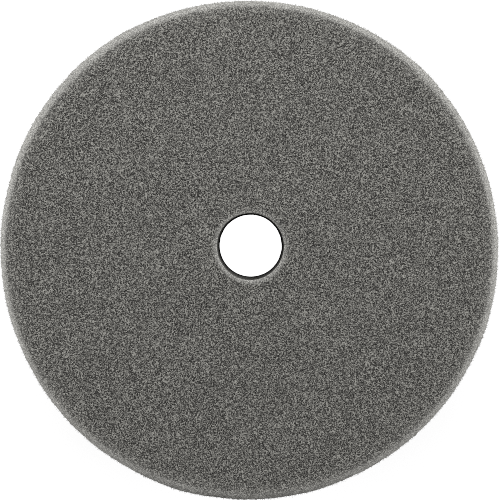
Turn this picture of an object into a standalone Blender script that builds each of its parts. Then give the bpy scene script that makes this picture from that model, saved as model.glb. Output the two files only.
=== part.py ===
"""Foam polishing pad with a hook-and-loop back, for a dual-action polisher.

The pad lies on its loop face. The origin is the centre of that face, +Z runs out of the
foam's working face, and every length is in metres.
"""

import math

import bpy

# Driving dimensions
PAD_DIAMETER = 0.165  # at the widest, just under the working face
BACK_DIAMETER = 0.150  # the loop back, cut to the size of its backing plate
HOLE_DIAMETER = 0.022  # punched through every layer
TOTAL_THICKNESS = 0.025
FACE_ROUND = 0.0030  # radius where the working face turns into the side
HOLE_ROUND = 0.0005  # radius on the hole's front lip
BAND_HEIGHT = 0.0040  # straight band below the rounding, before the side tapers in
BACK_ROUND = 0.0006  # radius on the foam's back edge

# Layers of the back, from the loop face up
PILE_THICKNESS = 0.0018
CLOTH_THICKNESS = 0.0006
FILM_THICKNESS = 0.0004
LAYER_GAP = 0.0003  # between layers that touch

# Roundness
TURN_STEPS = 96
ROUND_STEPS = 5

CLOTH_BOTTOM = PILE_THICKNESS + LAYER_GAP
FILM_BOTTOM = CLOTH_BOTTOM + CLOTH_THICKNESS + LAYER_GAP
FOAM_BOTTOM = FILM_BOTTOM + FILM_THICKNESS + LAYER_GAP
HOLE_RADIUS = HOLE_DIAMETER / 2
PAD_RADIUS = PAD_DIAMETER / 2
BACK_RADIUS = BACK_DIAMETER / 2


def empty_file():
    """Removes what the opened file holds, so that the part is alone in it."""
    for thing in list(bpy.data.objects):
        bpy.data.objects.remove(thing, do_unlink=True)


def pad_material(name, colour, roughness):
    """A plain non-metallic material in one colour."""
    material = bpy.data.materials.new(name)
    material.use_nodes = True
    shader = material.node_tree.nodes["Principled BSDF"]
    shader.inputs["Base Color"].default_value = (*colour, 1.0)
    shader.inputs["Roughness"].default_value = roughness
    shader.inputs["Metallic"].default_value = 0.0
    material.diffuse_color = (*colour, 1.0)
    return material


def rounded_corner(centre_r, centre_z, radius, start_degrees, end_degrees):
    """Points (r, z) along an arc, with both of its ends."""
    points = []
    for step in range(ROUND_STEPS + 1):
        share = step / ROUND_STEPS
        angle = math.radians(start_degrees + (end_degrees - start_degrees) * share)
        points.append((centre_r + radius * math.cos(angle), centre_z + radius * math.sin(angle)))
    return points


def turned(name, outline, material, collection):
    """A ring turned round Z from its closed outline of (r, z), listed down its outer side."""
    mesh = bpy.data.meshes.new(name)
    points = [(r, 0.0, z) for r, z in outline]
    count = len(points)
    edges = [(index, (index + 1) % count) for index in range(count)]
    mesh.from_pydata(points, edges, [])
    mesh.materials.append(material)
    ring = bpy.data.objects.new(name, mesh)
    collection.objects.link(ring)
    screw = ring.modifiers.new("turn", "SCREW")
    screw.axis = "Z"
    screw.angle = math.tau
    screw.steps = TURN_STEPS
    screw.render_steps = TURN_STEPS
    screw.use_merge_vertices = True
    screw.merge_threshold = 0.00001
    screw.use_smooth_shade = True
    return ring


def finished(ring):
    """Turns the ring's modifiers into its mesh, smooth except at its sharp edges."""
    graph = bpy.context.evaluated_depsgraph_get()
    mesh = bpy.data.meshes.new_from_object(ring.evaluated_get(graph))
    ring.modifiers.clear()
    old = ring.data
    ring.data = mesh
    bpy.data.meshes.remove(old)
    mesh.name = ring.name
    mesh.shade_smooth()
    mesh.set_sharp_from_angle(angle=math.radians(35))


def flat_ring(name, bottom, thickness, material, collection):
    """One flat layer of the back, as wide as the back and with the hole in it."""
    top = bottom + thickness
    outline = [(HOLE_RADIUS, top), (BACK_RADIUS, top), (BACK_RADIUS, bottom), (HOLE_RADIUS, bottom)]
    return turned(name, outline, material, collection)


def foam_body(material, collection):
    """The foam: flat working face, rounded rim, straight band, side tapered in to the back."""
    band_top = TOTAL_THICKNESS - FACE_ROUND
    band_bottom = band_top - BAND_HEIGHT
    lean = math.degrees(math.atan2(PAD_RADIUS - BACK_RADIUS, band_bottom - FOAM_BOTTOM))
    lip = rounded_corner(HOLE_RADIUS + HOLE_ROUND, TOTAL_THICKNESS - HOLE_ROUND, HOLE_ROUND, 180, 90)
    rim = rounded_corner(PAD_RADIUS - FACE_ROUND, band_top, FACE_ROUND, 90, 0)
    back_edge = rounded_corner(
        BACK_RADIUS - BACK_ROUND, FOAM_BOTTOM + BACK_ROUND, BACK_ROUND, -lean, -90
    )
    outline = lip + rim + [(PAD_RADIUS, band_bottom)] + back_edge + [(HOLE_RADIUS, FOAM_BOTTOM)]
    return turned("foam_body", outline, material, collection)


def main():
    empty_file()
    collection = bpy.data.collections.new("polishing_pad")
    bpy.context.scene.collection.children.link(collection)

    foam = pad_material("grey polyurethane foam", (0.130, 0.127, 0.117), 0.95)
    glue = pad_material("hot-melt adhesive film", (0.35, 0.34, 0.31), 0.5)
    cloth = pad_material("black knitted polyester", (0.018, 0.018, 0.019), 0.9)
    pile = pad_material("black brushed loops", (0.012, 0.012, 0.013), 0.95)

    rings = [
        foam_body(foam, collection),
        flat_ring("bond_film", FILM_BOTTOM, FILM_THICKNESS, glue, collection),
        flat_ring("backing_cloth", CLOTH_BOTTOM, CLOTH_THICKNESS, cloth, collection),
        flat_ring("loop_pile", 0.0, PILE_THICKNESS, pile, collection),
    ]
    for ring in rings:
        finished(ring)


main()
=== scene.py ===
# %% [markdown]
# # A foam polishing pad, built and lit in Blender
#
# The pad is a disc of grey open-cell polyurethane foam that a car polisher spins against the
# paint. A cloth with a brushed loop pile is glued to its back, so that it grips the hooks of
# the polisher's plate. This lesson starts from a simple model of its layers, which gives the
# sizes, and makes each layer again with the surface that the real material has: foam with a
# ragged skin of cells, a squeezed line of glue, a knitted cloth and thousands of small loops.
# Then come a camera, a white table and soft studio light.

# %% Load the simple model
import math

import bpy
import numpy as np
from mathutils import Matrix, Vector, noise


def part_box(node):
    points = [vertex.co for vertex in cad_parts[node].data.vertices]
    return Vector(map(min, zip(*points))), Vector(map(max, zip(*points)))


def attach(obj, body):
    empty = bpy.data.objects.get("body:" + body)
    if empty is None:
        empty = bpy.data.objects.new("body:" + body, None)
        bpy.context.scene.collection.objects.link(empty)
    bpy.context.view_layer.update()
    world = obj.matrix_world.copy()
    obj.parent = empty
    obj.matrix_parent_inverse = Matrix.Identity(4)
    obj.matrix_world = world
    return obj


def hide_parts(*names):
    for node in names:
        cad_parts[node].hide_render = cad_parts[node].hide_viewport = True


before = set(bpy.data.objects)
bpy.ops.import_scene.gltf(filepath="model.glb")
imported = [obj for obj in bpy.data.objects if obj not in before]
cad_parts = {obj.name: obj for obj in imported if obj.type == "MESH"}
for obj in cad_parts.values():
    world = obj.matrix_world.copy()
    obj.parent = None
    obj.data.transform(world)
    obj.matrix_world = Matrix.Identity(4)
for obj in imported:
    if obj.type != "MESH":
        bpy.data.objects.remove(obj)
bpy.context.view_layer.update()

# %% [markdown]
# ## Sizes
#
# Every height and width comes from the boxes of the simple model's layers, so the new layers
# land where the old ones are. The rounding of the rim and the size of the hole can't be read
# from a box, so they are given here. The hole is a little off the middle of the disc, as foam
# moves under the knife. How far, and which way, was measured on a real pad.

# %% Read the sizes of the layers
MM = 0.001

foam_low, foam_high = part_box("foam_body")
film_low, film_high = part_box("bond_film")
cloth_low, cloth_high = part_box("backing_cloth")
pile_low, pile_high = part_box("loop_pile")

pad_radius = (foam_high.x - foam_low.x) / 2
back_radius = (cloth_high.x - cloth_low.x) / 2
face_height = foam_high.z
hole_radius = 11.0 * MM
hole_shift = Vector((0.63 * MM, 1.54 * MM, 0.0))
back_hole_shift = Vector((0.54 * MM, 1.37 * MM, 0.0))
face_round = 3.0 * MM
lip_round = 0.25 * MM
band_height = 4.0 * MM
back_round = 0.6 * MM
glue_top = film_low.z + 0.20 * MM
glue_bottom = film_low.z - 0.20 * MM
foam_foot = glue_top - 0.05 * MM

print(f"foam {2 * pad_radius / MM:.0f} mm across, back {2 * back_radius / MM:.0f} mm across")

# %% [markdown]
# ## Small helpers
#
# Colours are picked as sRGB hex values, the way a paint program shows them, and Blender's
# shaders want linear light, so one function converts them. Another one adds a shader node with
# its settings and its links in one call, which keeps a material readable from top to bottom.
# Each material starts from one Principled shader.

# %% Colour and node helpers
def linear(hex_colour):
    """An sRGB hex colour as the linear RGBA that a shader socket takes."""
    channels = [int(hex_colour[start:start + 2], 16) / 255 for start in (1, 3, 5)]
    light = [c / 12.92 if c <= 0.04045 else ((c + 0.055) / 1.055) ** 2.4 for c in channels]
    return (*light, 1.0)


def node(tree, kind, settings=None, stops=(), **inputs):
    """Adds a node. An input takes a plain value, or an output socket to link from.

    An input is named, with _ for a space, or numbered, as in i0. A colour ramp takes its stops
    as (position, hex colour).
    """
    made = tree.nodes.new(kind)
    for name, value in (settings or {}).items():
        setattr(made, name, value)
    for name, value in inputs.items():
        key = int(name[1:]) if name[0] == "i" and name[1:].isdigit() else name.replace("_", " ")
        socket = made.inputs[key]
        if isinstance(value, bpy.types.NodeSocket):
            tree.links.new(value, socket)
        else:
            socket.default_value = value
    for index, (position, colour) in enumerate(stops):
        elements = made.color_ramp.elements
        element = elements[index] if index < len(elements) else elements.new(position)
        element.position = position
        element.color = linear(colour)
    return made


def new_material(name, **settings):
    """A material with one Principled shader. Plain values are set on the shader's sockets."""
    material = bpy.data.materials.new(name)
    material.use_nodes = True
    shader = material.node_tree.nodes["Principled BSDF"]
    for key, value in settings.items():
        shader.inputs[key.replace("_", " ")].default_value = value
    return material, material.node_tree, shader


# %% [markdown]
# ## A profile to turn
#
# Every layer of the pad is a turned shape: its outline, on one side of the axis, is given as
# points (r, z) and spun round. Two helpers draw such an outline with evenly spaced points.

# %% Draw a profile
def evenly_along(points, step):
    """Points a step apart along a polyline, with its first point and without its last."""
    found = []
    for (r0, z0), (r1, z1) in zip(points, points[1:]):
        pieces = max(1, round(math.hypot(r1 - r0, z1 - z0) / step))
        found += [(r0 + (r1 - r0) * k / pieces, z0 + (z1 - z0) * k / pieces) for k in range(pieces)]
    return found


def arc(centre_r, centre_z, radius, start, end, step):
    """Points (r, z) along an arc whose angles are in degrees, ends included."""
    length = abs(math.radians(end - start)) * radius
    count = max(2, round(length / step))
    angles = [math.radians(start + (end - start) * k / count) for k in range(count + 1)]
    return [(centre_r + radius * math.cos(a), centre_z + radius * math.sin(a)) for a in angles]


# %% [markdown]
# ## A skin of rings
#
# A profile is usually spun by a Screw modifier, but that gives the same number of points to a
# ring near the hole as to one at the rim, and foam needs an even skin, with points as close as
# its torn surface asks for. So each ring here gets its own number of points, moved a little at
# random along the ring, and neighbouring rings are stitched with triangles by walking round
# both at once.

# %% Turn a profile into a skin
def stitched_rings(profile, steps, rng, jitter=0.25):
    """Points, triangles and outward directions of a skin turned from a closed profile.

    profile holds (r, z), and steps the wanted distance between points on each ring.
    """
    count = len(profile)
    starts, sizes, phases, points, normals = [], [], [], [], []
    for index, (r, z) in enumerate(profile):
        before, after = profile[index - 1], profile[(index + 1) % count]
        along = np.array([after[0] - before[0], after[1] - before[1]])
        along /= np.linalg.norm(along)
        size = max(24, round(math.tau * r / steps[index]))
        phase = rng.random()
        turn = (np.arange(size) + phase + rng.uniform(-jitter, jitter, size)) * math.tau / size
        starts.append(sum(sizes))
        sizes.append(size)
        phases.append(phase)
        points.append(np.stack([r * np.cos(turn), r * np.sin(turn), np.full(size, z)], axis=1))
        out_r, out_z = -along[1], along[0]
        normals.append(np.stack([out_r * np.cos(turn), out_r * np.sin(turn), np.full(size, out_z)], axis=1))
    triangles = []
    for index in range(count):
        other = (index + 1) % count
        a, b, i, j = sizes[index], sizes[other], 0, 0
        while i < a or j < b:
            here = starts[index] + i % a
            there = starts[other] + j % b
            if j == b or (i < a and (i + 1 + phases[index]) / a < (j + 1 + phases[other]) / b):
                i += 1
                triangles.append((here, there, starts[index] + i % a))
            else:
                j += 1
                triangles.append((here, there, starts[other] + j % b))
    return np.concatenate(points), triangles, np.concatenate(normals)


def mesh_piece(name, points, faces, material):
    """A smooth-shaded object from points and faces."""
    mesh = bpy.data.meshes.new(name)
    mesh.from_pydata(points.tolist(), [], faces)
    mesh.materials.append(material)
    mesh.shade_smooth()
    piece = bpy.data.objects.new(name, mesh)
    bpy.context.scene.collection.objects.link(piece)
    print(name, "has", len(points), "points and", len(faces), "faces")
    return piece


# %% [markdown]
# ## Unevenness
#
# Nothing on a foam pad is exact. The hole sits off the middle, so the points near it are moved
# with it, less and less over the next 20 mm. Smooth noise gives lumps of any size.

# %% Move points with the hole and by noise
HOLE_REACH = 20 * MM


def around_hole(points, shift):
    """Moves what is near the hole with it, to where it was punched."""
    reach = np.hypot(points[:, 0], points[:, 1])
    share = np.clip(1 - (reach - hole_radius) / HOLE_REACH, 0, 1)[:, None]
    return points + share * np.array(shift)


def noise_at(points, size, seed):
    """Smooth noise from -1 to 1 at each point, with lumps of about the given size."""
    shift = Vector((seed * 17.3, seed * 5.9, seed * 11.1))
    return np.array([noise.noise(Vector(point) / size + shift) for point in points])


# %% [markdown]
# ## The cells of the foam
#
# Polishing foam is polyurethane that was blown into a block of fine open cells, 65 to 100 to
# the inch, and sliced with a blade. The slice cuts through the cells and leaves a net of pale
# strut ends round small dark pores.
#
# The pores come from two Voronoi textures, which fill space, so that the pattern runs over every
# edge without a seam. The distance from the middle of a pore draws dark pores between pale
# struts. Real pores are 0.25 to 0.4 mm across and hardly show from here, so these are drawn
# coarser, at half a millimetre. The random colour of smaller cells breaks the struts up. Both
# add up to a height, and a colour ramp turns the height into the colour of the cut foam.
#
# The share of the pores and the first three stops of the ramp weren't picked by hand: a search
# outside this script found them, from the contrast and the grain of real foam. The colours at the
# stops and the two sizes were then adjusted.

# %% Foam cells
CELL = 0.25 * MM
PORE = 0.50 * MM
CELL_SHARE = 0.625
PORE_SHARE = 0.705


def cut_cells(tree, place):
    """The depth of each small cell, the height of the cut surface, and its colour."""
    cells = node(tree, "ShaderNodeTexVoronoi", {"feature": "F1"}, Vector=place, Scale=1 / CELL)
    depth = node(tree, "ShaderNodeSeparateColor", i0=cells.outputs["Color"]).outputs["Red"]
    pores = node(tree, "ShaderNodeTexVoronoi", {"feature": "F1"}, Vector=place, Scale=1 / PORE)
    part = node(tree, "ShaderNodeMath", {"operation": "MULTIPLY"}, i0=depth, i1=CELL_SHARE)
    height = node(
        tree,
        "ShaderNodeMath",
        {"operation": "MULTIPLY_ADD"},
        i0=pores.outputs["Distance"],
        i1=PORE_SHARE,
        i2=part.outputs["Value"],
    ).outputs["Value"]
    stops = [(0.156, "#121211"), (0.553, "#444341"), (0.93, "#8e8d88"), (1.0, "#a4a39d")]
    net = node(tree, "ShaderNodeValToRGB", stops=stops, i0=height).outputs["Color"]
    return depth, height, net


print(f"foam cells {CELL / MM:.2f} mm across, pores {PORE / MM:.2f} mm across")

# %% [markdown]
# ## Where the foam has a nap, and where light and shade are painted
#
# Where the disc was ground to its round rim, the broken struts stand up as a fine nap, which
# hides the pores and looks paler. That paler rim is partly the nap and partly a painted
# highlight, and it is made weaker down the side, on the diagonals and in front, as painted shade.
# Round the lip of the hole a paler ring is a painted highlight, stronger at its front. These marks
# belong to a place on the pad, so they are worked out from distances: each row of a table says
# what grows, between which two values, and how strong the mark is at each. The wall of the hole
# is painted nearly black, as painted shade for the little light that gets in, and less dark on its
# front left, as a painted lit side. The strengths were set to look like a real pad.

# %% Foam nap, painted highlights and painted shade
# Directions to the front and to the front left: for the painted highlight at the front of the lip, and the
# painted lit side of the hole's wall.
TO_FRONT = (-0.4, -0.9, 0.0)
TO_LEFT = (-0.87, -0.5, 0.0)


def nap_and_painted_light(tree, place):
    """How much nap and painted highlight hide the pores, and how much painted shade darkens the wall of the
    hole, both from 0 to 1.
    """
    apart = node(tree, "ShaderNodeSeparateXYZ", Vector=place).outputs
    flat = node(tree, "ShaderNodeCombineXYZ", X=apart["X"], Y=apart["Y"], Z=0.0).outputs["Vector"]
    measures = {
        "reach": ("LENGTH", (0.0, 0.0, 0.0)),
        "from_hole": ("DISTANCE", tuple(hole_shift)),
        "to_front": ("DOT_PRODUCT", TO_FRONT),
        "to_left": ("DOT_PRODUCT", TO_LEFT),
    }
    grows = {
        name: node(tree, "ShaderNodeVectorMath", {"operation": kind}, i0=flat, i1=other).outputs["Value"]
        for name, (kind, other) in measures.items()
    }
    diagonal = node(tree, "ShaderNodeMath", {"operation": "MULTIPLY"}, i0=apart["X"], i1=apart["Y"])
    diagonal = node(tree, "ShaderNodeMath", {"operation": "ABSOLUTE"}, i0=diagonal.outputs["Value"])
    grows.update(y=apart["Y"], z=apart["Z"], diagonal=diagonal.outputs["Value"])

    top, rim, lip, smooth = face_height, pad_radius, hole_radius, "SMOOTHSTEP"
    # Painted light and shade: the rim's highlight is made weaker down the side, on the diagonals and in
    # front; the lip's highlight is stronger in front; the wall's painted shade is weaker on its front left.
    table = {
        "ground rim": ("reach", rim - 3.6 * MM, rim - 1.4 * MM, 0.0, 1.0, smooth),
        "edge of the face": ("reach", rim - 6 * MM, rim - 3 * MM, 0.0, 0.13, "LINEAR"),
        "down the side": ("z", top - 3 * MM, top - 9 * MM, 1.0, 0.3, "LINEAR"),
        "on the diagonals": ("diagonal", 0.15 * rim**2, 0.5 * rim**2, 1.0, 0.84, "LINEAR"),
        "in front": ("y", -0.86 * rim, -rim, 1.0, 0.55, "LINEAR"),
        "lip": ("from_hole", lip + 2.0 * MM, lip + 0.3 * MM, 0.0, 1.0, smooth),
        "front of the lip": ("to_front", -lip - 1.2 * MM, lip - 1.2 * MM, 0.34, 0.72, "LINEAR"),
        "below the lip": ("z", top - 0.25 * MM, top - 0.5 * MM, 0.0, 1.0, "LINEAR"),
        "inside the hole": ("from_hole", lip + 1.01 * MM, lip + MM, 0.0, 1.0, "LINEAR"),
        "left of the wall": ("to_left", 0.3 * lip, 0.8 * lip, 0.85, 0.6, "LINEAR"),
    }
    share = {}
    for name, (what, start, end, low, high, kind) in table.items():
        share[name] = node(
            tree,
            "ShaderNodeMapRange",
            {"interpolation_type": kind},
            Value=grows[what],
            From_Min=start,
            From_Max=end,
            To_Min=low,
            To_Max=high,
        ).outputs["Result"]

    found = []
    for first, *others in (
        ("ground rim", "down the side", "on the diagonals", "in front"),
        ("lip", "front of the lip"),
        ("below the lip", "inside the hole", "left of the wall"),
    ):
        value = share[first]
        for other in others:
            value = node(
                tree, "ShaderNodeMath", {"operation": "MULTIPLY"}, i0=value, i1=share[other]
            ).outputs["Value"]
        found.append(value)
    # The rim's nap is partly a painted highlight, the lip's is a painted highlight, and the wall's darkness
    # is painted shade.
    rim_nap, painted_lip_highlight, painted_wall_shade = found
    nap = rim_nap
    for other in (painted_lip_highlight, share["edge of the face"]):
        nap = node(tree, "ShaderNodeMath", {"operation": "MAXIMUM"}, i0=nap, i1=other).outputs["Value"]
    return nap, painted_wall_shade


# %% [markdown]
# ## Open-cell polyurethane foam
#
# The foam is matte all over, with a trace of sheen from its fine struts. Its colour starts from
# the cut cells, is mixed with the paler and smoother nap and its painted highlights, gets faint
# blotches a few millimetres across, as a block that foamed unevenly has, and ends with the
# painted shade of the hole's wall. The same height gives a bump, which is weaker where the nap
# fills the pores.

# %% Foam material
NAP_AND_HIGHLIGHT_COVER = 0.75


def foam_material():
    """Open-cell polyurethane: matte, pale struts, dark pores, a paler ground edge that is partly painted
    highlight, a hole wall in painted shade.
    """
    material, tree, shader = new_material(
        "open_cell_polyurethane",
        Roughness=0.95,
        IOR=1.45,
        Specular_IOR_Level=0.1,
        Sheen_Weight=0.1,
        Sheen_Roughness=0.6,
        Sheen_Tint=linear("#d8d6cf"),
    )
    place = node(tree, "ShaderNodeTexCoord").outputs["Object"]
    depth, height, net = cut_cells(tree, place)
    # The first is the nap with its painted highlights, the second the painted shade of the hole's wall.
    nap, painted_wall_shade = nap_and_painted_light(tree, place)

    # A paler colour for the nap, which is partly a painted highlight.
    nap_and_highlight_colour = node(
        tree, "ShaderNodeValToRGB", stops=[(0.0, "#9a9995"), (1.0, "#dcdbd6")], i0=depth
    ).outputs["Color"]
    cover = node(tree, "ShaderNodeMath", {"operation": "MULTIPLY"}, i0=nap, i1=NAP_AND_HIGHLIGHT_COVER)
    nap_and_highlight_mix = node(
        tree, "ShaderNodeMix", {"data_type": "RGBA"}, i0=cover.outputs["Value"], i6=net, i7=nap_and_highlight_colour
    )
    mottle = node(
        tree, "ShaderNodeTexNoise", Vector=place, Scale=1 / (6 * MM), Detail=3.0, Roughness=0.5
    ).outputs["Fac"]
    shade = node(tree, "ShaderNodeValToRGB", stops=[(0.3, "#f6f6f6"), (0.7, "#ffffff")], i0=mottle)
    mottled = node(
        tree,
        "ShaderNodeMix",
        {"data_type": "RGBA", "blend_type": "MULTIPLY"},
        i0=1.0,
        i6=nap_and_highlight_mix.outputs[2],
        i7=shade.outputs["Color"],
    )
    # The wall of the hole is mixed to near black: painted shade.
    colour = node(
        tree,
        "ShaderNodeMix",
        {"data_type": "RGBA"},
        i0=painted_wall_shade,
        i6=mottled.outputs[2],
        i7=linear("#0a0a0a"),
    )
    tree.links.new(colour.outputs[2], shader.inputs["Base Color"])

    pitting = node(tree, "ShaderNodeMapRange", Value=nap, To_Min=0.4, To_Max=0.15).outputs["Result"]
    bump = node(tree, "ShaderNodeBump", Strength=pitting, Distance=0.15 * MM, Height=height)
    tree.links.new(bump.outputs["Normal"], shader.inputs["Normal"])
    return material


foam_look = foam_material()
print(foam_look.name, "has", len(foam_look.node_tree.nodes), "nodes")

# %% [markdown]
# ## The foam disc
#
# The disc has a flat working face, a rim ground round, a straight band under it, and a side
# that tapers in to the smaller back. This is its outline, from the foot of the hole up, over the
# face and down the side. The underside is glued, so its rings can be far apart.

# %% Outline of the foam
FOAM_STEP = 0.60 * MM
HIDDEN_STEP = 4 * MM
HIDDEN_WIDTH = 2.5 * MM


def foam_profile(step):
    """The foam's closed outline as (r, z), from the foot of the hole up and round."""
    band_top = face_height - face_round
    band_bottom = band_top - band_height
    foot = foam_foot
    lean = math.degrees(math.atan2(pad_radius - back_radius, band_bottom - foot))
    corner = back_radius - back_round
    outline = [(hole_radius, foot)]
    outline += arc(hole_radius + lip_round, face_height - lip_round, lip_round, 180, 90, step)
    outline += arc(pad_radius - face_round, band_top, face_round, 90, 0, step)
    outline += [(pad_radius, band_bottom)]
    outline += arc(corner, foot + back_round, back_round, -lean, -90, step)
    seen = evenly_along(outline, step)
    hidden = evenly_along([(corner, foot), (hole_radius, foot)], HIDDEN_STEP)
    return seen + hidden, len(seen)


# %% [markdown]
# ## The torn surface
#
# The skin is moved in and out by broad lumps, because a soft block never lies quite true under
# the knife, by small ones the size of a few cells, and by a little at every point. The rim is
# torn more than the rest. It is also out of round, by half a millimetre at most, in four slow
# waves. Their sizes and directions weren't picked by hand: they were worked out outside this
# script, from the outline of a real pad.

# %% Make the foam
def out_of_round(points):
    """Pushes the rim in and out by a few slow waves, each with its lobes, size and direction."""
    turn = np.arctan2(points[:, 1], points[:, 0])
    push = np.zeros(len(points))
    for lobes, size, direction in ((2, 0.12, 157), (3, 0.25, -57), (4, 0.13, 155), (5, 0.10, 105)):
        push += size * MM * np.cos(lobes * turn + math.radians(direction))
    reach = np.hypot(points[:, 0], points[:, 1])
    share = np.clip((reach - back_radius) / (pad_radius - back_radius), 0, 1)
    points[:, :2] *= (1 + share * push / reach)[:, None]
    return points


def foam_disc():
    """The foam as one closed skin, and the points and outward directions of its ground rim."""
    rng = np.random.default_rng(7)
    profile, seen = foam_profile(FOAM_STEP)
    steps = [FOAM_STEP if index < seen else HIDDEN_WIDTH for index in range(len(profile))]
    points, triangles, outward = stitched_rings(profile, steps, rng)
    lumps = rng.normal(0, 0.015 * MM, len(points))
    for height, size, seed in ((0.16, 22, 1), (0.05, 4, 2), (0.02, 1.5, 3)):
        lumps += height * MM * noise_at(points, size * MM, seed)
    torn = np.clip((np.hypot(points[:, 0], points[:, 1]) - pad_radius + 3 * MM) / (2 * MM), 0, 1)
    for height, size, seed in ((0.1, 8, 5), (0.14, 1.1, 4)):
        lumps += torn * height * MM * noise_at(points, size * MM, seed)
    lumps += torn * rng.normal(0, 0.06 * MM, len(points))
    lumps[points[:, 2] < foam_foot + 0.1 * MM] *= 0.2
    points = out_of_round(around_hole(points + outward * lumps[:, None], hole_shift))
    reach = np.hypot(points[:, 0], points[:, 1])
    ground = (reach > pad_radius - 2.1 * MM) & (points[:, 2] > face_height - face_round - band_height)
    piece = mesh_piece("foam_disc", points, triangles, foam_look)
    return piece, points[ground], outward[ground]


foam, ground_points, ground_outward = foam_disc()

# %% [markdown]
# ## The nap on the rim
#
# Where the rim was ground round, broken struts stand out of the foam, finer than a hair. They
# blur the outline and catch the light. Each is a thin spike with a root inside the foam, and
# leans its own way. They are fewer and thicker here than on the real foam.

# %% Stand the broken struts up
SPIKE_RADIUS = 0.045 * MM
SPIKE_ROOT = 0.2 * MM


def broken_struts(roots, outward):
    """Three-sided spikes on the ground part of the rim, two for each of its points."""
    rng = np.random.default_rng(9)
    roots = np.repeat(roots, 2, axis=0) + rng.normal(0, 0.18 * MM, (2 * len(roots), 3))
    along = np.repeat(outward, 2, axis=0) + rng.normal(0, 0.35, roots.shape)
    along /= np.linalg.norm(along, axis=1)[:, None]
    side = np.cross(along, rng.normal(0, 1, roots.shape))
    side /= np.linalg.norm(side, axis=1)[:, None]
    other = np.cross(along, side)
    height = rng.uniform(0.15, 0.6, (len(roots), 1)) * MM
    corners = [roots + along * height]
    for turn in (0, math.tau / 3, 2 * math.tau / 3):
        spread = SPIKE_RADIUS * (math.cos(turn) * side + math.sin(turn) * other)
        corners.append(roots - along * SPIKE_ROOT + spread)
    points = np.stack(corners, axis=1).reshape(-1, 3)
    faces = []
    for tip in range(0, len(points), 4):
        a, b, c = tip + 1, tip + 2, tip + 3
        faces += [(tip, a, b), (tip, b, c), (tip, c, a), (c, b, a)]
    return mesh_piece("rim_nap", points, faces, foam_look)


nap = broken_struts(ground_points, ground_outward)

# %% [markdown]
# ## Hot-melt adhesive film
#
# A polyurethane film was melted between the foam and the cloth under a warm press. It sets
# clear to greyish and smooth, and squeezes out a little at the cut edge, where a thin satin
# line shows.

# %% Glue film
def film_material():
    """Set hot-melt polyurethane: smooth, satin, greyish."""
    material, tree, shader = new_material("hot_melt_polyurethane", Roughness=0.38, IOR=1.5)
    place = node(tree, "ShaderNodeTexCoord").outputs["Object"]
    cloud = node(
        tree, "ShaderNodeTexNoise", Vector=place, Scale=1 / (2 * MM), Detail=3.0
    ).outputs["Fac"]
    colour = node(tree, "ShaderNodeValToRGB", stops=[(0.35, "#3b3a37"), (0.65, "#5a5851")], i0=cloud)
    tree.links.new(colour.outputs["Color"], shader.inputs["Base Color"])
    bump = node(tree, "ShaderNodeBump", Strength=0.4, Distance=0.1 * MM, Height=cloud)
    tree.links.new(bump.outputs["Normal"], shader.inputs["Normal"])
    return material


def flat_layer(name, bottom, top, step, edge_tear, material, seed):
    """A flat ring as wide as the back, with a slightly uneven cut edge, inside and out."""
    rng = np.random.default_rng(seed)
    outline = [(hole_radius, top), (back_radius, top), (back_radius, bottom), (hole_radius, bottom)]
    up_edge = (top - bottom) / 3
    profile = []
    for start, end, spacing in ((0, 1, HIDDEN_STEP), (1, 2, up_edge), (2, 3, HIDDEN_STEP), (3, 0, up_edge)):
        profile += evenly_along([outline[start], outline[end]], spacing)
    edges = (hole_radius + MM, back_radius - MM)
    steps = [HIDDEN_WIDTH if edges[0] <= r <= edges[1] else step for r, _ in profile]
    points, triangles, _ = stitched_rings(profile, steps, rng, 0.1)
    reach = np.hypot(points[:, 0], points[:, 1])
    at_edge = (reach > back_radius - 0.2 * MM) | (reach < hole_radius + 0.2 * MM)
    tear = 0.6 * noise_at(points, 2.5 * MM, seed) + 0.6 * noise_at(points, 0.6 * MM, seed + 1)
    tear += rng.normal(0, 0.25, len(points))
    points[:, :2] *= (1 + edge_tear * tear * at_edge / reach)[:, None]
    return mesh_piece(name, around_hole(points, back_hole_shift), triangles, material)


film = flat_layer("glue_film", glue_bottom, glue_top, 0.5 * MM, 0.12 * MM, film_material(), 11)

# %% [markdown]
# ## Knitted ground cloth
#
# The loops grow out of a warp-knitted polyester ground, dyed black. Its wales, the columns of
# stitches, are about 1 mm apart. The cloth was laid on the film, pressed flat, and cut with the
# pad, so only its edge and the gaps between the loops show it. A Wave texture repeats every
# tau / 20 of its space, which gives the scale for a stripe of a wanted width.

# %% Ground cloth
WALE = 1.0 * MM


def cloth_material():
    """Black warp knit: matte, ribbed in wales about a millimetre apart."""
    material, tree, shader = new_material(
        "warp_knitted_polyester", Roughness=0.85, IOR=1.5, Sheen_Weight=0.3
    )
    place = node(tree, "ShaderNodeTexCoord").outputs["Object"]
    wales = node(
        tree,
        "ShaderNodeTexWave",
        {"bands_direction": "X"},
        Vector=place,
        Scale=math.tau / (20 * WALE),
        Distortion=2.0,
        Detail=3.0,
        Detail_Scale=2.0,
    ).outputs["Fac"]
    colour = node(tree, "ShaderNodeValToRGB", stops=[(0.2, "#101012"), (0.8, "#303036")], i0=wales)
    tree.links.new(colour.outputs["Color"], shader.inputs["Base Color"])
    bump = node(tree, "ShaderNodeBump", Strength=0.7, Distance=0.2 * MM, Height=wales)
    tree.links.new(bump.outputs["Normal"], shader.inputs["Normal"])
    return material


cloth_top = glue_bottom + 0.05 * MM
cloth = flat_layer(
    "ground_cloth", cloth_low.z, cloth_top, 0.45 * MM, 0.16 * MM, cloth_material(), 12
)

# %% [markdown]
# ## The mat of the pile
#
# The pile is thousands of fine nylon loops, brushed so that they lie in all directions. A real
# square centimetre has hundreds of hair-thin ones. The loops made here are fewer and thicker, so
# that each can be seen, and a lumpy mat behind them stands for the rest. Mat and loops are one
# nylon in two tones: the mat's darker one is painted shade for the depth of the pile, and the
# loops' paler one is painted light on them.

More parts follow.
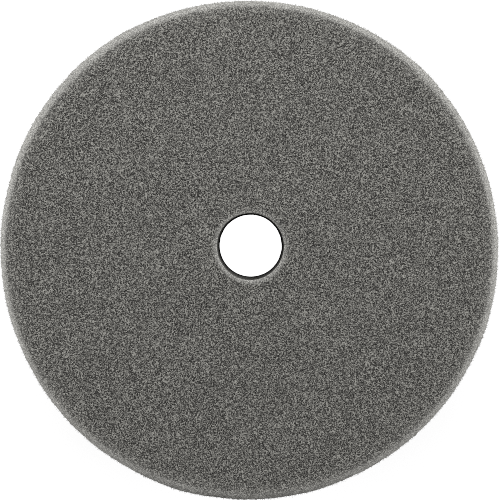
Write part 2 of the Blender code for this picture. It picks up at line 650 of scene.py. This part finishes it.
# %% Pile mat
def pile_material(name, dark, light):
    """Brushed black nylon: dark, with the soft shine of fine fibres."""
    material, tree, shader = new_material(
        name,
        Roughness=0.62,
        IOR=1.53,
        Sheen_Weight=0.5,
        Sheen_Roughness=0.4,
        Sheen_Tint=linear("#9a9aa2"),
    )
    place = node(tree, "ShaderNodeTexCoord").outputs["Object"]
    tangle = node(
        tree, "ShaderNodeTexNoise", Vector=place, Scale=1 / (0.8 * MM), Detail=5.0
    ).outputs["Fac"]
    colour = node(tree, "ShaderNodeValToRGB", stops=[(0.35, dark), (0.65, light)], i0=tangle)
    tree.links.new(colour.outputs["Color"], shader.inputs["Base Color"])
    bump = node(tree, "ShaderNodeBump", Strength=0.8, Distance=0.3 * MM, Height=tangle)
    tree.links.new(bump.outputs["Normal"], shader.inputs["Normal"])
    return material


def pile_mat(material):
    """The roots of the loops taken together: a lumpy ring under the cloth."""
    rng = np.random.default_rng(21)
    bottom, top = pile_low.z + 1.2 * MM, cloth_low.z + 0.05 * MM
    inner, outer = hole_radius + 0.7 * MM, back_radius - 0.7 * MM
    outline = [(inner, top), (outer, top), (outer, bottom), (inner, bottom)]
    step = 0.9 * MM
    profile = evenly_along(outline + outline[:1], step)
    points, triangles, outward = stitched_rings(profile, [step] * len(profile), rng)
    lumps = 0.30 * MM * noise_at(points, 1.8 * MM, 22) + rng.normal(0, 0.1 * MM, len(points))
    lumps[points[:, 2] > top - 0.1 * MM] = 0
    points = around_hole(points + outward * lumps[:, None], back_hole_shift)
    return mesh_piece("pile_mat", points, triangles, material)


# The mat is darker than the loops: painted shade for the depth of the pile.
mat = pile_mat(pile_material("matted_nylon_pile", "#0a0a0b", "#232326"))

# %% [markdown]
# ## One loop
#
# A loop leaves the cloth, leans over and goes back in a millimetre further on. Its path is half
# an ellipse, stretched towards its tip, and a three-sided thread is laid along it.

# %% Shape of a loop
LOOP_SPACING = 1.62 * MM
THREAD_RADIUS = 0.11 * MM


def loop_path(rng, foot, height, lean):
    """Points along one loop: out of the cloth, over in a leaning arch, and back in."""
    heading = rng.uniform(0, math.tau)
    width = rng.uniform(0.6, 1.6) * MM
    across = np.array([math.cos(heading), math.sin(heading), 0.0]) * width
    turns = np.linspace(0, math.pi, 5)[:, None]
    tip = np.array([lean[0], lean[1], -height])
    return foot - across / 2 * np.cos(turns) + tip * np.sin(turns)


def tube_along(path, radius):
    """Points and faces of a three-sided thread along a path."""
    along = np.gradient(path, axis=0)
    along /= np.linalg.norm(along, axis=1)[:, None]
    side = np.cross(along, [0.31, 0.23, 0.92])
    side /= np.linalg.norm(side, axis=1)[:, None]
    other = np.cross(along, side)
    angles = np.arange(3) * math.tau / 3
    ring = np.cos(angles)[None, :, None] * side[:, None] + np.sin(angles)[None, :, None] * other[:, None]
    points = (path[:, None] + radius * ring).reshape(-1, 3)
    faces = []
    for k in range(len(path) - 1):
        for s in range(3):
            t = (s + 1) % 3
            faces.append((3 * k + s, 3 * k + t, 3 * k + 3 + t, 3 * k + 3 + s))
    last = 3 * (len(path) - 1)
    faces += [(2, 1, 0), (last, last + 1, last + 2)]
    return points, faces


# %% [markdown]
# ## The loops
#
# The loops stand on a jittered grid, and each leans its own way. The punch cuts the cloth
# through a row of loops, so that a close row stands along both edges. Two pieces of the same
# kind lie over each other, which keeps each one light enough to handle.

# %% Loops
EDGE_SPACING = 0.55 * MM
INNER_EDGE = (hole_radius + 1.2 * MM, -0.2 * MM)
OUTER_EDGE = (back_radius - 0.6 * MM, 0.5 * MM)


def loop_roots(rng):
    """Where each loop leaves the cloth, and how far it leans: a grid, and a row at each edge."""
    cells = int(back_radius / LOOP_SPACING) + 1
    for column in range(-cells, cells + 1):
        for row in range(-cells, cells + 1):
            x, y = (np.array([column, row]) + rng.uniform(-0.45, 0.45, 2)) * LOOP_SPACING
            if hole_radius + 1.4 * MM < math.hypot(x, y) < back_radius - 0.8 * MM:
                lean, side = rng.uniform(0.4, 2.0) * MM, rng.uniform(0, math.tau)
                yield x, y, lean * math.cos(side), lean * math.sin(side)
    for radius, furthest in (OUTER_EDGE, INNER_EDGE):
        count = round(math.tau * radius / EDGE_SPACING)
        for turn in (np.arange(count) + rng.uniform(-0.4, 0.4, count)) * math.tau / count:
            lean = rng.uniform(0.0, 1.0) * furthest
            x, y = math.cos(turn), math.sin(turn)
            yield radius * x, radius * y, lean * x, lean * y


def loops(material, seed, name):
    """Leaning loops from the cloth down to the pile's own height."""
    rng = np.random.default_rng(seed)
    points, faces, start = [], [], 0
    for x, y, lean_x, lean_y in loop_roots(rng):
        if not hole_radius + MM < math.hypot(x + lean_x, y + lean_y) < back_radius:
            lean_x, lean_y = -lean_x, -lean_y
        height = rng.uniform(0.7, 1.0) * (cloth_low.z - pile_low.z - THREAD_RADIUS)
        path = loop_path(rng, np.array([x, y, cloth_low.z]), height, (lean_x, lean_y))
        tube, sides = tube_along(path, THREAD_RADIUS)
        points.append(tube)
        faces += [tuple(start + corner for corner in side) for side in sides]
        start += len(tube)
    print(len(points), "loops")
    placed = around_hole(np.concatenate(points), back_hole_shift)
    return mesh_piece(name, placed, faces, material)


# The loops are paler than the mat: painted light on them.
loop_look = pile_material("brushed_nylon_loop", "#1c1c1f", "#4b4b52")
pile = loops(loop_look, 23, "pile_loops")
top_pile = loops(loop_look, 24, "pile_loops_over")

# %% [markdown]
# ## Put each piece on the pad's body
#
# Every piece rides on the pad's one rigid body. The simple solid that the main piece of each
# layer stands for is hidden. The cloth is cut as a ring 150 mm across.

# %% Ride and replace
for piece, solid, slot in (
    (foam, "foam_body", "foam"),
    (nap, None, "foam"),
    (film, "bond_film", "adhesive_film"),
    (cloth, "backing_cloth", "backing_cloth"),
    (mat, "loop_pile", "loop_pile"),
    (pile, None, "loop_pile"),
    (top_pile, None, "loop_pile"),
):
    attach(piece, "root")
    if solid:
        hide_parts(solid)

# %% [markdown]
# ## Camera
#
# The pad fills a square frame, seen from above its face at a short arm's length. The camera
# leans by a degree and a half, which shows a little more of the hole's near wall. The lens comes
# from the wanted size of the rim in the frame: a longer one would show less of the wall.

# %% Camera
camera_distance = 0.300
camera_lean = math.radians(1.4)
camera_side_lean = math.radians(0.3)
look_at = Vector((0.00027, 0.00042, face_height))

camera_data = bpy.data.cameras.new("camera")
camera_data.sensor_width = 36.0
rim_distance = camera_distance + face_round
half_frame = pad_radius * 1.0045
camera_data.lens = camera_data.sensor_width / 2 * rim_distance / half_frame
camera = bpy.data.objects.new("camera", camera_data)
bpy.context.scene.collection.objects.link(camera)
toward = Vector((math.tan(camera_side_lean), math.tan(camera_lean), 1.0)).normalized()
camera.location = look_at + camera_distance * toward
camera.rotation_euler = (-camera_lean, camera_side_lean, 0.0)
bpy.context.scene.camera = camera
print(f"lens {camera_data.lens:.1f} mm")

# %% [markdown]
# ## White table
#
# The pad lies on a white glowing table, as in a catalogue studio. The table glows for the camera
# only, so that it doesn't light the pad's side from below. Its glow goes by the distance from the
# hole, in metres: full inside the hole, as painted light where the hole would hold shade, nearly
# full round the pad, and full far away, where the table meets the room. It is weak under the pad,
# which darkens the pad's foot like a soft shadow and is partly painted rather than cast. The table
# can be seen through from underneath, so that the back of the pad can be looked at.

# %% Table
def table_material():
    """Opal acrylic, lit from below for the camera only, and clear from underneath."""
    material, tree, shader = new_material(
        "opal_acrylic_table", Base_Color=linear("#959595"), Roughness=0.6
    )
    place = node(tree, "ShaderNodeTexCoord").outputs["Object"]
    from_hole = node(
        tree, "ShaderNodeVectorMath", {"operation": "DISTANCE"}, i0=place, i1=tuple(hole_shift)
    ).outputs["Value"]
    # Glow by distance: painted light inside the hole, and a partly painted shadow under the pad.
    rings = [(0.0, "#ffffff"), (0.0125, "#ffffff"), (0.0135, "#a4a4a4"), (0.077, "#a4a4a4")]
    rings += [(0.087, "#eeeeee"), (0.15, "#eeeeee"), (0.6, "#ffffff")]
    strength = node(tree, "ShaderNodeValToRGB", stops=rings, i0=from_hole).outputs["Color"]
    glow = node(tree, "ShaderNodeEmission", Color=linear("#ffffff"), Strength=strength)
    lit = node(
        tree, "ShaderNodeAddShader", i0=shader.outputs["BSDF"], i1=glow.outputs["Emission"]
    ).outputs["Shader"]
    seen = node(tree, "ShaderNodeLightPath").outputs["Is Camera Ray"]
    top = node(tree, "ShaderNodeMixShader", i0=seen, i1=shader.outputs["BSDF"], i2=lit)
    behind = node(tree, "ShaderNodeNewGeometry").outputs["Backfacing"]
    clear = node(tree, "ShaderNodeBsdfTransparent").outputs["BSDF"]
    sides = node(tree, "ShaderNodeMixShader", i0=behind, i1=top.outputs["Shader"], i2=clear)
    tree.links.new(sides.outputs["Shader"], tree.nodes["Material Output"].inputs["Surface"])
    return material


TABLE_RADIUS = 6.0
bpy.ops.mesh.primitive_circle_add(vertices=96, radius=TABLE_RADIUS, fill_type="NGON")
table = bpy.context.object
table.name = "table"
table.location.z = pile_low.z - 0.02 * MM
table.data.materials.append(table_material())
print(f"the table reaches {TABLE_RADIUS:.0f} m")

# %% [markdown]
# ## Room and lights
#
# The room is white to the camera, and gives the pad only a weak light from all round. Low wide
# lights behind the pad and on both sides graze its face and, with the nap's painted highlight,
# give the rim its bright line, which is weakest in front. A weak light stands higher up for the
# face. One more shines up at the loop pile. Light linking keeps it off the foam, which would glow
# at the edge of the hole. At the end the colours are kept as they were picked, and a narrow filter
# without denoising keeps the grain of the foam crisp.

# %% Room and lights
def room(seen_strength, light_strength):
    """A white room that lights the pad less than it shows behind it."""
    world = bpy.data.worlds.new("white_room")
    bpy.context.scene.world = world
    world.use_nodes = True
    tree = world.node_tree
    seen = node(tree, "ShaderNodeLightPath").outputs["Is Camera Ray"]
    strength = node(
        tree, "ShaderNodeMapRange", Value=seen, To_Min=light_strength, To_Max=seen_strength
    ).outputs["Result"]
    tree.links.new(strength, tree.nodes["Background"].inputs["Strength"])
    tree.nodes["Background"].inputs["Color"].default_value = (1.0, 1.0, 1.0, 1.0)


def soft_light(name, place, aim, size, power):
    """A square area light that points at a place."""
    data = bpy.data.lights.new(name, "AREA")
    data.shape = "SQUARE"
    data.size = size
    data.energy = power
    light = bpy.data.objects.new(name, data)
    bpy.context.scene.collection.objects.link(light)
    light.visible_camera = False
    light.location = place
    light.rotation_euler = (Vector(aim) - Vector(place)).to_track_quat("-Z", "Y").to_euler()
    return light


room(1.0, 0.16)
middle = (0.0, 0.0, face_height)
soft_light("far_light", (-0.05, 0.8, 0.42), middle, 0.6, 3.6)
soft_light("left_light", (-1.1, -0.05, 0.35), middle, 0.7, 9.5)
soft_light("right_light", (1.1, -0.05, 0.35), middle, 0.7, 9.5)
soft_light("overhead_light", (0.0, 0.30, 0.34), middle, 0.4, 0.72)

below_light = soft_light("below_light", (0.2, -0.3, -0.9), (0.0, 0.0, 0.0), 0.8, 14.0)
backs = bpy.data.collections.new("lit_from_below")
for piece in (cloth, mat, pile, top_pile):
    backs.objects.link(piece)
below_light.light_linking.receiver_collection = backs
below_light.light_linking.blocker_collection = backs

bpy.context.scene.view_settings.view_transform = "Standard"
bpy.context.scene.cycles.filter_width = 0.8
bpy.context.scene.cycles.use_denoising = False
